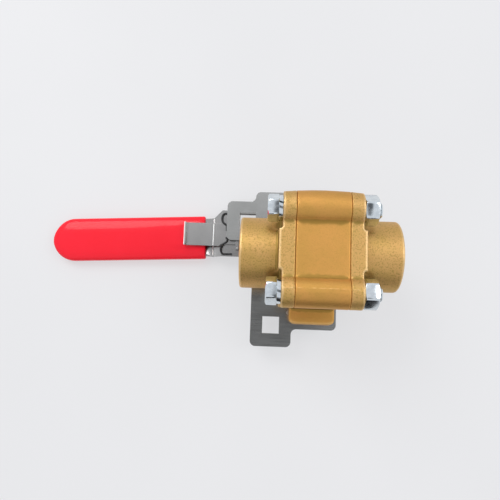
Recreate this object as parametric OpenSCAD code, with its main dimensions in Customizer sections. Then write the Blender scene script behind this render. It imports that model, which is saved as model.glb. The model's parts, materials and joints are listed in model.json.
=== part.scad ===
// Three-piece bolted bronze ball valve with a dog-leg lever, a lock plate and a sliding latch.
// It lies on its lever and stem nut, as it would on a bench: the stem points down (-Z), the
// waterway runs along X and the lever reaches out along -X, which is the open position.

/* [Waterway] */
// Diameter of the standard port through the ball
port_d = 31.75; // [20:0.25:34]
// Diameter of the ball
ball_d = 45; // [43:0.5:46]
// Inside diameter of the socket that takes the tube
socket_d = 41.4; // [36:0.1:43]
// Depth of each socket
socket_depth = 27.7; // [15:0.1:28]
// Outside diameter of the socket ends
end_d = 49; // [47:0.5:52]
// Overall length from rim to rim
valve_l = 106; // [100:1:120]

/* [Body] */
// Length of the centre section between its two joint faces
body_l = 34; // [32:0.5:36]
// Thickness of each bolted flange at the bolt seats
flange_t = 8.4; // [6:0.1:10]
// How far the cross-shaped pad stands proud of the bolt seats
pad_proud = 2.2; // [1:0.1:3]
// Half width of the flat centre band between the bolt lobes
band_h = 32.3; // [31:0.1:34]
// Distance from the waterway axis to each bolt, along Y and along Z
bolt_at = 26.5; // [26:0.1:28]
// Radius of the lobe round each bolt
lobe_r = 10.6; // [9:0.1:12]

/* [Fasteners] */
// Body bolt diameter
bolt_d = 11.1; // [10:0.1:11.2]
// Body bolt head, across flats
head_af = 15.9; // [15:0.1:17]
// Body bolt head height
head_h = 7.1; // [6:0.1:8]
// Body nut, across flats
nut_af = 17.5; // [16:0.1:18]
// Body nut height
nut_h = 9.3; // [8:0.1:10]
// Spring lock washer thickness
washer_t = 2.8; // [2:0.1:3]

/* [Lock plate] */
// Height of the plate's upper face below the waterway axis
plate_top = 40.9; // [40:0.1:42]
// Sheet thickness of the plate
plate_t = 3; // [2:0.1:3]
// Side of the square padlock holes
lock_hole = 12.8; // [8:0.1:13]
// Distance from the stem to a padlock hole, along the lever
lock_reach = 51; // [50:0.5:52]
// Distance from the stem to a padlock hole, across the lever
lock_side = 30.2; // [30:0.1:31]
// Width of each ear
ear_w = 31.5; // [26:0.5:32]
// Distance from the stem to the end of each ear
ear_reach = 67.5; // [64:0.5:70]

/* [Lever] */
// Height of the lever's upper face below the waterway axis
lever_top = 48; // [47.8:0.1:48.5]
// Steel thickness of the lever
lever_t = 3.2; // [2.5:0.1:3.2]
// How far the handle end is set down from the stem end
lever_drop = 4.6; // [3:0.1:4.6]
// Distance from the stem to the tip of the grip
grip_reach = 212; // [190:1:230]
// Distance from the stem to the near end of the grip
grip_start = 85.5; // [84:0.5:90]
// Width of the grip
grip_w = 34; // [30:0.5:36]
// Thickness of the grip
grip_t = 11.6; // [10:0.1:11.6]
// Distance of the grip's near end from the waterway axis, along Y
grip_side = 17.6; // [15:0.1:20]
// Angle of the grip to the waterway axis
grip_tilt = 2.8; // [0:0.1:3]

/* [Latch] */
// Thickness of the latch strip
latch_t = 1.8; // [1.5:0.1:2]
// Width of the latch strip
latch_w = 18.6; // [14:0.1:19]
// Distance from the stem to the thumb end of the latch
latch_end = 102; // [95:0.5:110]
// Distance of the latch's centreline from the waterway axis
latch_side = 19.2; // [18:0.1:20]
// Travel of the latch
latch_travel = 8; // [6:0.5:8]

/* [Hidden] */
$fn = 64;

bronze = [0.78, 0.58, 0.28];
cap_bronze = [0.82, 0.66, 0.38];
steel = [0.66, 0.66, 0.65];
zinc = [0.80, 0.84, 0.86];
ptfe = [0.93, 0.92, 0.88];
black_rubber = [0.08, 0.08, 0.09];
red_vinyl = [0.90, 0.10, 0.12];

eps = 0.01;
gap = 0.3;
run_gap = 0.05;
through = 400;

body_x = body_l / 2;
seat_face_x = body_x + flange_t;
pad_x = seat_face_x + pad_proud;
rim_x = valve_l / 2;
ball_r = ball_d / 2;
port_r = port_d / 2;
cavity_r = ball_r + 0.6;
bolt_hole_r = bolt_d / 2 + 0.4;
spot_r = 14.4;

seat_x = 13.4;
seat_pocket = 1.4;
seat_r = 21.4;
seal_r = 25.6;
seal_w = 2.2;
seal_t = 1.2;

lug_half_x = body_x - 0.2;
lug_reach = 49.3;
lug_top = 28.4;
screw_x = 8;
screw_y = 43;
screw_r = 2.5;
screw_head_r = 4.7;
screw_l = 12;

stem_r = 6.35;
collar_r = 9.5;
collar_top = 23.3;
collar_t = 3.2;
thrust_t = 1.5;
chamber_r = 9.6;
chamber_top = 33.5;
packing_l = 3.6;
gland_l = 2;
gland_r = 10.5;
gland_af = 20;
plate_hole_r = 14;
plate_back = 54;
plate_front = 53.6;
plate_right = 20;
plate_corner = 4;
tang_w = 8;
tang_l = 15;
tang_top = 17.8;
slot_depth = 5;
flat_w = 9;
thread_r = 4.76;
floor_z = -60;

plate_z = -plate_top - plate_t;
lever_z = -lever_top - lever_t;
grip_z = floor_z + grip_t / 2;
latch_z = -lever_top + 0.2;
latch_low = latch_side - latch_w / 2;
latch_high = latch_side + latch_w / 2;
tongue_low = 10.4;
tongue_high = 22.4;
tongue_end = 46.5;
latch_shoulder = 68.4;
guide_x = 60.1;
guide_l = 2.5;
guide_foot = 2.6;
guide_gap = 0.4;
guide_t = 1.2;
rivet_r = 0.8;
keeper_x = 41;
keeper_y = 16.4;
keeper_r = 2.5;
stop_at = 20;
stop_r = 2.5;
bend_x = 72;
bend_end = 79;
wire_r = 0.75;
hub_r = 14;

// ---------- shared shapes ----------

module along_x(x, length) {
  translate([x, 0, 0]) rotate([90, 0, 90]) linear_extrude(length) children();
}

module rod_x(x, length, r) {
  translate([x, 0, 0]) rotate([0, 90, 0]) cylinder(h = length, r = r);
}

module hex_x(x, length, across) {
  translate([x, 0, 0]) rotate([0, 90, 0]) cylinder(h = length, r = across / sqrt(3), $fn = 6);
}

// A hexagon with its corners turned off at a shallow cone, as on a bolt head
module chamfered_hex_x(x, length, across, both = false) {
  corner = across / sqrt(3);
  drop = (corner - across / 2 * 0.97) * tan(30);
  intersection() {
    hex_x(x, length, across);
    rotate([0, 90, 0]) rotate_extrude()
      polygon([
        [0, x], [both ? across / 2 * 0.97 : corner + 1, x],
        [corner + 1, both ? x + drop + tan(30) : x],
        [corner + 1, x + length - drop - tan(30)],
        [across / 2 * 0.97, x + length], [0, x + length]
      ]);
  }
}

module at_bolts() {
  for (y = [-bolt_at, bolt_at])
    for (z = [-bolt_at, bolt_at])
      translate([0, y, z]) children();
}

module ring(outer, inner, height) {
  difference() {
    cylinder(h = height, r = outer);
    translate([0, 0, -1]) cylinder(h = height + 2, r = inner);
  }
}

module rounded_rect(low, high, r) {
  translate([low[0] + r, low[1]]) square([high[0] - low[0] - 2 * r, high[1] - low[1]]);
  translate([low[0], low[1] + r]) square([high[0] - low[0], high[1] - low[1] - 2 * r]);
  for (x = [low[0] + r, high[0] - r])
    for (y = [low[1] + r, high[1] - r])
      translate([x, y]) circle(r);
}

// Cross-section of the body: a flat-sided centre with a round lobe at each bolt
module body_section() {
  square([2 * band_h, 2 * band_h], center = true);
  for (y = [-bolt_at, bolt_at])
    for (z = [-bolt_at, bolt_at])
      translate([y, z]) circle(lobe_r);
}

// ---------- pressure shell ----------

module body() {
  color(bronze) difference() {
    union() {
      along_x(-body_x, body_l) body_section();
      translate([0, 0, -plate_top]) linear_extrude(plate_top - lug_top)
        rounded_rect([-lug_half_x, -lug_reach], [lug_half_x, lug_reach], 4);
    }
    rod_x(-body_x - 1, body_l + 2, cavity_r);
    at_bolts() rod_x(-body_x - 1, body_l + 2, bolt_hole_r);
    translate([0, 0, -collar_top - collar_t - thrust_t]) cylinder(h = 20, r = collar_r + run_gap);
    translate([0, 0, -plate_top - 1]) cylinder(h = 30, r = stem_r + run_gap);
    translate([0, 0, -plate_top - 1]) cylinder(h = plate_top - chamber_top + 1, r = chamber_r);
    translate([0, 0, -plate_top - 1]) cylinder(h = 3.4, r = gland_r + run_gap);
    for (x = [-screw_x, screw_x])
      for (y = [-screw_y, screw_y])
        translate([x, y, -plate_top - 1]) cylinder(h = screw_l, r = screw_r);
  }
}

// One end cap, drawn for the +X side
module end_cap_shape() {
  difference() {
    union() {
      along_x(body_x, flange_t + pad_proud) body_section();
      rod_x(body_x, rim_x - body_x - 0.8, end_d / 2);
      translate([rim_x - 0.8, 0, 0]) rotate([0, 90, 0])
        cylinder(h = 0.8, r1 = end_d / 2, r2 = end_d / 2 - 0.8);
    }
    at_bolts() rod_x(seat_face_x, 14, spot_r);
    at_bolts() rod_x(body_x - 1, 20, bolt_hole_r);
    rod_x(body_x - 1, valve_l, port_r);
    rod_x(rim_x - socket_depth, valve_l, socket_d / 2);
    rod_x(body_x - 1, seat_pocket + 1, seat_r + 0.1);
    difference() {
      rod_x(body_x - 1, seal_t + 1, seal_r);
      rod_x(body_x - 2, seal_t + 3, seal_r - seal_w);
    }
  }
}

module end_cap_left() {
  color(cap_bronze) mirror([1, 0, 0]) end_cap_shape();
}

module end_cap_right() {
  color(cap_bronze) end_cap_shape();
}

// A soft ring whose inner face is hollowed to the ball
module seat_shape() {
  difference() {
    rod_x(seat_x, body_x + seat_pocket - seat_x, seat_r);
    rod_x(seat_x - 1, 10, port_r + 0.3);
    sphere(ball_r + gap, $fn = 96);
  }
}

module seat_left() {
  color(ptfe) mirror([1, 0, 0]) seat_shape();
}

module seat_right() {
  color(ptfe) seat_shape();
}

module body_seal_shape() {
  difference() {
    rod_x(body_x, seal_t, seal_r);
    rod_x(body_x - 1, seal_t + 2, seal_r - seal_w);
  }
}

module body_seal_left() {
  color(black_rubber) mirror([1, 0, 0]) body_seal_shape();
}

module body_seal_right() {
  color(black_rubber) body_seal_shape();
}

// ---------- ball and stem ----------

module ball() {
  color(zinc) difference() {
    sphere(ball_r, $fn = 96);
    rod_x(-ball_r - 1, ball_d + 2, port_r);
    translate([-tang_w / 2 - run_gap, -ball_r, -ball_r - 1])
      cube([tang_w + 2 * run_gap, ball_d, slot_depth + 1]);
  }
}

module stem() {
  color(steel) difference() {
    union() {
      intersection() {
        translate([-tang_w / 2, -tang_l / 2, -collar_top - 1])
          cube([tang_w, tang_l, collar_top + 1 - tang_top]);
        translate([0, 0, -collar_top - 1]) cylinder(h = 10, r = tang_l / 2);
      }
      translate([0, 0, -collar_top - collar_t]) cylinder(h = collar_t, r = collar_r);
      translate([0, 0, lever_z]) cylinder(h = -lever_z - collar_top, r = stem_r);
      translate([0, 0, floor_z + 0.4]) cylinder(h = lever_z - floor_z, r = thread_r);
    }
    for (side = [-1, 1])
      translate([side * (flat_w / 2 + 5) - 5, -10, lever_z - 0.1])
        cube([10, 20, lever_t + 0.1]);
    translate([0, 0, -chamber_top + 2]) difference() {
      cylinder(h = 1.6, r = stem_r + 1);
      translate([0, 0, -1]) cylinder(h = 4, r = stem_r - 1.1);
    }
  }
}

module stem_thrust_washer() {
  color(ptfe) translate([0, 0, -collar_top - collar_t - thrust_t])
    ring(collar_r, stem_r + run_gap, thrust_t);
}

module stem_o_ring() {
  color(black_rubber) translate([0, 0, -chamber_top + 2.1])
    ring(stem_r, stem_r - 1.05, 1.4);
}

// Two soft packing rings, one on the other
module stem_packing() {
  color(ptfe)
    for (i = [0, 1])
      translate([0, 0, -chamber_top - (i + 1) * packing_l / 2])
        ring(chamber_r, stem_r + run_gap, packing_l / 2);
}

module packing_gland() {
  color(bronze) translate([0, 0, -chamber_top - packing_l - gland_l])
    ring(chamber_r - 0.1, stem_r + run_gap, gland_l - 0.05);
}

module gland_nut() {
  nut_top = -chamber_top - packing_l - gland_l;
  color(bronze) difference() {
    union() {
      translate([0, 0, -plate_top]) cylinder(h = plate_top + nut_top - 0.05, r = gland_r);
      translate([0, 0, -plate_top - 4.2]) cylinder(h = 4.2, r = gland_af / sqrt(3), $fn = 6);
    }
    translate([0, 0, -plate_top - 5]) cylinder(h = 12, r = stem_r + run_gap);
  }
}

// Two cupped washers, nested the same way round
module disc_springs() {
  cup = 0.6;
  sheet = 0.8;
  color(steel)
    for (i = [0, 1])
      translate([0, 0, -lever_top + 0.1 + i * sheet])
        rotate_extrude()
          polygon([
            [stem_r + 0.2, cup], [10, 0], [10, sheet], [stem_r + 0.2, sheet + cup]
          ]);
}

// ---------- lock plate ----------

// Points of an arc that rounds the corner at b, between a and c, to the radius r
function corner_arc(a, b, c, r, steps = 6) =
  let (
    u = (a - b) / norm(a - b), v = (c - b) / norm(c - b), half = acos(u * v) / 2,
    centre = b + (u + v) / norm(u + v) * r / sin(half),
    start = b + u * r / tan(half), finish = b + v * r / tan(half)
  )
  [for (i = [0 : steps])
    let (spoke = start * (1 - i / steps) + finish * i / steps - centre)
    centre + spoke / norm(spoke) * r];

// A polygon with every corner rounded to the same radius
module rounded_polygon(points, r) {
  n = len(points);
  polygon([
    for (i = [0 : n - 1])
      each corner_arc(points[(i + n - 1) % n], points[i], points[(i + 1) % n], r)
  ]);
}

// An ear for the open position, the middle that covers both lugs, and an ear for closed
module lock_plate_outline() {
  half = ear_w / 2;
  left = -lock_side - half;
  rounded_polygon([
    [-ear_reach, lock_side + half], [left + 1, lock_side + half], [left + 1, plate_back],
    [plate_right, plate_back], [plate_right, -plate_front], [-lock_side + half, -plate_front],
    [-lock_side + half, -ear_reach], [left, -ear_reach], [left, lock_side - half],
    [-ear_reach, lock_side - half]
  ], plate_corner);
}

module square_hole(x, y) {
  translate([x, y]) square(lock_hole, center = true);
}

module lock_plate() {
  color(steel) translate([0, 0, plate_z]) difference() {
    linear_extrude(plate_t) difference() {
      lock_plate_outline();
      square_hole(-lock_reach, lock_side);
      square_hole(-lock_side, -lock_reach);
      circle(plate_hole_r);
      stop_track();
      translate([-keeper_x, keeper_y]) circle(keeper_r - 0.6);
      translate([-keeper_y, -keeper_x]) circle(keeper_r - 0.6);
    }
    for (x = [-screw_x, screw_x])
      for (y = [-screw_y, screw_y])
        translate([x, y, -eps]) {
          cylinder(h = 2.2 + eps, r1 = screw_head_r + 0.05, r2 = screw_r + 0.25);
          cylinder(h = plate_t + 1, r = screw_r + 0.25);
        }
  }
}

// Curved track for the stop pin: a quarter turn long, with round ends
module stop_track() {
  r = stop_r + run_gap;
  steps = 12;
  polygon([
    for (i = [0 : 2 * steps]) let (a = 225 + 45 * i / steps) (stop_at + r) * [cos(a), sin(a)],
    for (i = [1 : steps - 1]) let (a = 315 + 180 * i / steps)
      stop_at * [cos(315), sin(315)] + r * [cos(a), sin(a)],
    for (i = [0 : 2 * steps]) let (a = 315 - 45 * i / steps) (stop_at - r) * [cos(a), sin(a)],
    for (i = [1 : steps - 1]) let (a = 45 + 180 * i / steps)
      stop_at * [cos(225), sin(225)] + r * [cos(a), sin(a)]
  ]);
}

module plate_screws() {
  color(steel)
    for (x = [-screw_x, screw_x])
      for (y = [-screw_y, screw_y])
        translate([x, y, plate_z]) difference() {
          union() {
            cylinder(h = 2.2, r1 = screw_head_r, r2 = screw_r);
            cylinder(h = screw_l + 1, r = screw_r);
          }
          translate([0, 0, -1]) cylinder(h = 2.4, r = 1.7, $fn = 6);
        }
}

// Shouldered pins, riveted into the plate, that the forked latch closes round
module keeper_pins() {
  color(steel)
    for (at = [[-keeper_x, keeper_y], [-keeper_y, -keeper_x]])
      translate([at[0], at[1], 0]) {
        translate([0, 0, plate_z]) cylinder(h = plate_t, r = keeper_r - 0.6);
        translate([0, 0, -lever_top + 0.6]) cylinder(h = lever_top + plate_z - 0.6, r = keeper_r);
      }
}

// ---------- lever ----------

// A point of the grip's own axes: distance along the grip and distance across it
function on_grip(along, across) = [
  -grip_start - along * cos(grip_tilt) - across * sin(grip_tilt),
  grip_side - along * sin(grip_tilt) + across * cos(grip_tilt)
];

// Flat outline of the arm: from inside the hub to the wide part under the lock plate,
// narrowing over the bend, and on as a bar inside the grip
module arm_outline() {
  bar_l = grip_reach - grip_start - 6;
  bar_half = 12;
  polygon([
    [-2, -12], [-36, 2], [-bend_x, 2], [-bend_end, 1.8], on_grip(0, -grip_w / 2 + 1.6),
    on_grip(3, -bar_half), on_grip(bar_l - 8, -bar_half), on_grip(bar_l, -bar_half + 8),
    on_grip(bar_l, bar_half - 8), on_grip(bar_l - 8, bar_half), on_grip(3, bar_half),
    on_grip(0, grip_w / 2 - 1.6), [-bend_end, 33.6], [-bend_x, 39.6], [-42, 39.6], [2, 12]
  ]);
}

// Side view of the lever: level, sloping down over the bend, then level again
module lever_profile() {
  low = lever_top + lever_drop;
  polygon([
    [40, -lever_top], [-bend_x, -lever_top], [-bend_end, -low], [-through, -low],
    [-through, -low - lever_t], [-bend_end, -low - lever_t], [-bend_x, lever_z], [40, lever_z]
  ]);
}

// The arm as bent sheet
module arm() {
  intersection() {
    translate([0, 0, -80]) linear_extrude(60) arm_outline();
    translate([0, 80, 0]) rotate([90, 0, 0]) linear_extrude(160) lever_profile();
  }
}

module lever() {
  color(steel) difference() {
    union() {
      arm();
      translate([0, 0, lever_z]) cylinder(h = lever_t, r = hub_r);
      rotate(225) translate([0, 0, lever_z]) {
        translate([stop_at, 0, 0]) cylinder(h = lever_t, r = 2 * stop_r);
        translate([0, -2 * stop_r, 0]) cube([stop_at, 4 * stop_r, lever_t]);
      }
    }
    translate([0, 0, -80]) linear_extrude(60) {
      intersection() {
        circle(stem_r + run_gap);
        square([flat_w + 2 * run_gap, 20], center = true);
      }
      square_hole(-lock_reach, lock_side);
      rotate(225) translate([stop_at, 0]) circle(stop_r);
    }
    at_guide_feet() translate([0, 0, -80]) cylinder(h = 60, r = rivet_r);
  }
}

module grip_plan() {
  round_x = -(grip_reach - grip_start) + grip_w / 2;
  translate([-grip_start, grip_side]) rotate(grip_tilt) {
    translate([round_x, -grip_w / 2]) square([-round_x, grip_w]);
    translate([round_x, 0]) circle(grip_w / 2);
  }
}

module grip() {
  side_r = grip_t / 2;
  color(red_vinyl) difference() {
    intersection() {
      translate([0, 0, -80]) linear_extrude(60) grip_plan();
      translate([-grip_start, grip_side, grip_z]) rotate([0, 0, grip_tilt])
        along_x(-through / 2, through) {
          square([grip_w - 2 * side_r, grip_t], center = true);
          for (side = [-1, 1])
            translate([side * (grip_w / 2 - side_r), 0]) circle(side_r);
        }
    }
    translate([0, 0, -lever_top - lever_drop - lever_t]) linear_extrude(lever_t) arm_outline();
  }
}

module stop_pin() {
  color(steel) rotate(225) translate([stop_at, 0, lever_z])
    cylinder(h = -lever_z - plate_top - 0.2, r = stop_r);
}

module stem_lock_washer() {
  color(zinc) translate([0, 0, lever_z - 1.8]) difference() {
    cylinder(h = 1.8, r = 8.2);
    translate([0, 0, -1]) cylinder(h = 4, r = thread_r + 0.2);
    rotate([0, 0, 30]) translate([0, -0.4, -1]) cube([12, 0.8, 4]);
  }
}

module stem_nut() {
  top = lever_z - 1.8;
  color(zinc) difference() {
    rotate([0, 90, 0]) chamfered_hex_x(-top, top - floor_z, 16, true);
    translate([0, 0, floor_z - 1]) cylinder(h = 12, r = thread_r);
  }
}

// ---------- latch ----------

module latch_outline() {
  chamfer = 5;
  // thumb end, with a chamfered inner corner
  polygon([
    [-latch_end, latch_low], [-latch_shoulder - chamfer, latch_low],
    [-latch_shoulder, latch_low + chamfer], [-latch_shoulder, latch_high],
    [-latch_end, latch_high]
  ]);
  // forked tongue
  difference() {
    translate([-latch_shoulder - chamfer, tongue_low + 1])
      square([latch_shoulder + chamfer - tongue_end, tongue_high - tongue_low - 1]);
    translate([-tongue_end - 9, keeper_y - 2.9]) square([20, 5.8]);
  }
}

module latch_slide() {
  color(steel) {
    translate([0, 0, latch_z]) linear_extrude(latch_t) latch_outline();
    translate([-latch_end, latch_low, latch_z]) cube([latch_t, latch_w, 5]);
  }
}

// A bent flat wire that follows the given points
module wire(points) {
  linear_extrude(2 * wire_r) {
    for (i = [0 : len(points) - 2]) {
      step = points[i + 1] - points[i];
      translate(points[i]) rotate(atan2(step[1], step[0]))
        translate([0, -wire_r]) square([norm(step), 2 * wire_r]);
    }
    for (point = points)
      translate(point) circle(wire_r + 0.06);
  }
}

// Two bent wires on the lever, one beside each edge of the latch
module latch_spring() {
  color("black") translate([0, 0, -lever_top]) {
    wire([
      [-67.4, 8.75], [-70.8, 8.2], [-72, 6.6], [-71.6, 4.6], [-70.2, 3.8], [-63, 3.8]
    ]);
    wire([
      [-67.4, 29.65], [-71.2, 32.4], [-72, 34.4], [-71.4, 36.4], [-70.2, 37], [-63, 37]
    ]);
  }
}

module at_guide_feet() {
  for (y = [tongue_low - guide_gap - guide_foot / 2, tongue_high + guide_gap + guide_foot / 2])
    translate([-guide_x + guide_l / 2, y, 0]) children();
}

// Low bridge over the latch tongue
module latch_guide() {
  top = latch_z + latch_t + 0.2;
  height = top + guide_t + lever_top;
  span = tongue_high - tongue_low + 2 * guide_gap;
  color(steel) difference() {
    translate([-guide_x, tongue_low - guide_gap - guide_foot, -lever_top])
      cube([guide_l, span + 2 * guide_foot, height]);
    translate([-guide_x - 1, tongue_low - guide_gap, -lever_top - 1])
      cube([guide_l + 2, span, height - guide_t + 1]);
    at_guide_feet() translate([0, 0, -lever_top - 1]) cylinder(h = 10, r = rivet_r);
  }
}

module latch_rivets() {
  color(steel) at_guide_feet() translate([0, 0, lever_z])
    cylinder(h = latch_z + latch_t + 0.2 + guide_t - lever_z, r = rivet_r);
}

// ---------- body fasteners ----------

module body_bolts() {
  head_x = -seat_face_x - washer_t;
  color(zinc) at_bolts() {
    mirror([1, 0, 0]) chamfered_hex_x(-head_x, head_h, head_af);
    rod_x(head_x - eps, seat_face_x + nut_h + 2.4 - head_x, bolt_d / 2);
  }
}

module body_lock_washers() {
  color(zinc) at_bolts() difference() {
    rod_x(-seat_face_x - washer_t, washer_t, head_af / 2 + 0.3);
    rod_x(-seat_face_x - washer_t - 1, washer_t + 2, bolt_d / 2 + 0.1);
    translate([-seat_face_x - washer_t - 1, -0.5, 0]) cube([washer_t + 2, 1, 20]);
  }
}

module body_nuts() {
  color(zinc) at_bolts() difference() {
    chamfered_hex_x(seat_face_x, nut_h, nut_af, true);
    rod_x(seat_face_x - 1, nut_h + 2, bolt_d / 2);
  }
}

body();
end_cap_left();
end_cap_right();
seat_left();
seat_right();
body_seal_left();
body_seal_right();
ball();
stem();
stem_thrust_washer();
stem_o_ring();
stem_packing();
packing_gland();
gland_nut();
disc_springs();
lock_plate();
plate_screws();
keeper_pins();
lever();
grip();
stop_pin();
stem_lock_washer();
stem_nut();
latch_slide();
latch_spring();
latch_guide();
latch_rivets();
body_bolts();
body_lock_washers();
body_nuts();
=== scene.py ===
# %% [markdown]
# # A bolted bronze ball valve, built as a lesson
# The valve is a small machine: two cast end caps and a cast centre section are pulled
# together by four long bolts, a ball turns inside them, and a bent steel lever with a red
# dipped grip turns the ball through a stem. The mechanical model of every piece already
# exists. This script gives each piece the surface that the real one has.
#
# First the frame is loaded. Its pieces sit where they belong, in metres, so nothing here has
# to be fitted: a piece is either given a better finish, or rebuilt from its own outline.

# %% Load the frame
import json
import math

import bmesh
import bpy
from mathutils import Matrix, Vector, noise


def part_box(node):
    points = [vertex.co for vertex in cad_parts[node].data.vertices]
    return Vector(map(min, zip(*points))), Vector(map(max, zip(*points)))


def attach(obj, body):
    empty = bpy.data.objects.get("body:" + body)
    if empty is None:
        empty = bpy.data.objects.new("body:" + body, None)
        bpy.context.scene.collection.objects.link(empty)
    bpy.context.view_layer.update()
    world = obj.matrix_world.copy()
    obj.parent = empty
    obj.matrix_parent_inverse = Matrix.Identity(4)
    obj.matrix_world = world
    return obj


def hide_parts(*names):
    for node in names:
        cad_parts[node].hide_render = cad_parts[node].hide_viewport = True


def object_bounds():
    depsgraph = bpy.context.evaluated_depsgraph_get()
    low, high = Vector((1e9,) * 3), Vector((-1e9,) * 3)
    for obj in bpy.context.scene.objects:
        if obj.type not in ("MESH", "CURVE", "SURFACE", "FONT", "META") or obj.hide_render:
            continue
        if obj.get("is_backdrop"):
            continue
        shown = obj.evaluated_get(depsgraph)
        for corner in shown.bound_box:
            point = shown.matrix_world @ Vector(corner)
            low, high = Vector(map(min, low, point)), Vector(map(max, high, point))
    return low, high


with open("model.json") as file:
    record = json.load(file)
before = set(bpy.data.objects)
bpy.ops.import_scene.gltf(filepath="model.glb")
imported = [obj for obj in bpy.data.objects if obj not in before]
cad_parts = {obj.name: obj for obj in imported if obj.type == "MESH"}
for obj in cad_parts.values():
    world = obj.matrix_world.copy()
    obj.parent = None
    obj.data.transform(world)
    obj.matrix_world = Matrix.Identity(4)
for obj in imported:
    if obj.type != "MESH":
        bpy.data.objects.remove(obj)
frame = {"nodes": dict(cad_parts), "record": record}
cad_low, cad_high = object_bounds()
nodes = frame["nodes"]
body_of_node = {n: b for b, names in frame["record"]["behaviour"]["bodies"].items() for n in names}
slot_of_node = {s["node"]: s["material_slot"] for s in frame["record"]["subparts"]}
MM = 0.001
print("frame:", len(nodes), "nodes, size", [round(v, 4) for v in cad_high - cad_low])

# %% [markdown]
# ## The camera
# The valve is seen from above and a little to one side. A camera needs a place, a point to
# look at and a roll. The roll is built by hand, because a track constraint would leave the
# waterway level, and here it runs down to the right by about two degrees.

# %% Camera
CAMERA_AT = Vector((-35.3, -35.0, 305.2)) * MM
CAMERA_LOOKS_AT = Vector((-46.7, 1.9, 0.0)) * MM
CAMERA_ROLL = math.radians(2.14)
CAMERA_LENS = 31.76
SENSOR = 36.0


def make_camera():
    ahead = (CAMERA_LOOKS_AT - CAMERA_AT).normalized()
    level_right = ahead.cross(Vector((0, 1, 0))).normalized()
    level_up = level_right.cross(ahead)
    right = level_right * math.cos(CAMERA_ROLL) + level_up * math.sin(CAMERA_ROLL)
    up = right.cross(ahead)
    data = bpy.data.cameras.new("camera")
    data.lens = CAMERA_LENS
    data.sensor_width = SENSOR
    data.clip_start = 0.01
    camera = bpy.data.objects.new("camera", data)
    turn = Matrix((right, up, -ahead)).transposed()
    camera.matrix_world = Matrix.Translation(CAMERA_AT) @ turn.to_4x4()
    bpy.context.scene.collection.objects.link(camera)
    bpy.context.scene.camera = camera
    return camera


make_camera()
print("camera", round((CAMERA_AT - CAMERA_LOOKS_AT).length, 4), "m from what it looks at")

# %% [markdown]
# ## Light
# Bright metal shows what is around it, so the surroundings matter as much as the lamps. The
# sky is pale all round, with two dim zones: a small one straight overhead, where a camera
# and a hand would be, and a low one on the near side, where somebody would stand. The first
# gives the flat steel its darker bands, the second turns some facets of the nuts black. Two
# large soft lamps add direction and a faint shadow.

# %% World and lamps
SKY = (0.93, 0.95, 1.0, 1.0)
SKY_STRENGTH = 0.86
BACKDROP = (0.845, 0.84, 0.84, 1.0)
DIM_ZONES = [
    # direction, cosine where it starts, cosine where it is full, light left over
    (Vector((0.02, -0.04, 1.0)), 0.968, 0.995, 0.16),
    (Vector((0.0, -1.0, -0.04)), 0.80, 0.95, 0.02),
]


def make_world():
    world = bpy.data.worlds.new("studio")
    world.use_nodes = True
    tree = world.node_tree
    tree.nodes.clear()
    out = tree.nodes.new("ShaderNodeOutputWorld")
    sky = tree.nodes.new("ShaderNodeBackground")
    backdrop = tree.nodes.new("ShaderNodeBackground")
    mix = tree.nodes.new("ShaderNodeMixShader")
    path = tree.nodes.new("ShaderNodeLightPath")
    place = tree.nodes.new("ShaderNodeTexCoord")
    strength = SKY_STRENGTH
    for towards, starts, full, left_over in DIM_ZONES:
        dot = tree.nodes.new("ShaderNodeVectorMath")
        ramp = tree.nodes.new("ShaderNodeMapRange")
        keep = tree.nodes.new("ShaderNodeMath")
        dot.operation = "DOT_PRODUCT"
        dot.inputs[1].default_value = towards.normalized()
        ramp.interpolation_type = "SMOOTHSTEP"
        ramp.inputs["From Min"].default_value = starts
        ramp.inputs["From Max"].default_value = full
        ramp.inputs["To Min"].default_value = 1.0
        ramp.inputs["To Max"].default_value = left_over
        keep.operation = "MULTIPLY"
        tree.links.new(place.outputs["Generated"], dot.inputs[0])
        tree.links.new(dot.outputs["Value"], ramp.inputs["Value"])
        tree.links.new(ramp.outputs["Result"], keep.inputs[0])
        if isinstance(strength, float):
            keep.inputs[1].default_value = strength
        else:
            tree.links.new(strength, keep.inputs[1])
        strength = keep.outputs[0]
    sky.inputs["Color"].default_value = SKY
    backdrop.inputs["Color"].default_value = BACKDROP
    tree.links.new(strength, sky.inputs["Strength"])
    tree.links.new(path.outputs["Is Camera Ray"], mix.inputs["Fac"])
    tree.links.new(sky.outputs[0], mix.inputs[1])
    tree.links.new(backdrop.outputs[0], mix.inputs[2])
    tree.links.new(mix.outputs[0], out.inputs["Surface"])
    bpy.context.scene.world = world


def soft_lamp(name, at, towards, size, power):
    data = bpy.data.lights.new(name, "AREA")
    data.shape = "DISK"
    data.size = size
    data.energy = power
    lamp = bpy.data.objects.new(name, data)
    lamp.location = at
    lamp.rotation_euler = (Vector(towards) - Vector(at)).to_track_quat("-Z", "Y").to_euler()
    bpy.context.scene.collection.objects.link(lamp)
    return lamp


make_world()
soft_lamp("key_lamp", (-0.75, 0.85, 1.15), (-0.05, 0.0, 0.0), 0.9, 9.0)
soft_lamp("fill_lamp", (0.9, 0.35, 0.95), (0.0, 0.0, 0.0), 0.8, 3.5)
bpy.context.scene.view_settings.view_transform = "Standard"
print("light: a sky with", len(DIM_ZONES), "dim zones, and two soft lamps")

# %% [markdown]
# ## Shared surface effects
# Several finishes need the same things: fine grain, soft colour clouds, and lines left by
# rolling or turning. Each is made once as a shader node group with named sockets, and each
# material then uses it with its own sizes. All of them read Object coordinates, which stay
# with the piece when it moves.

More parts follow.
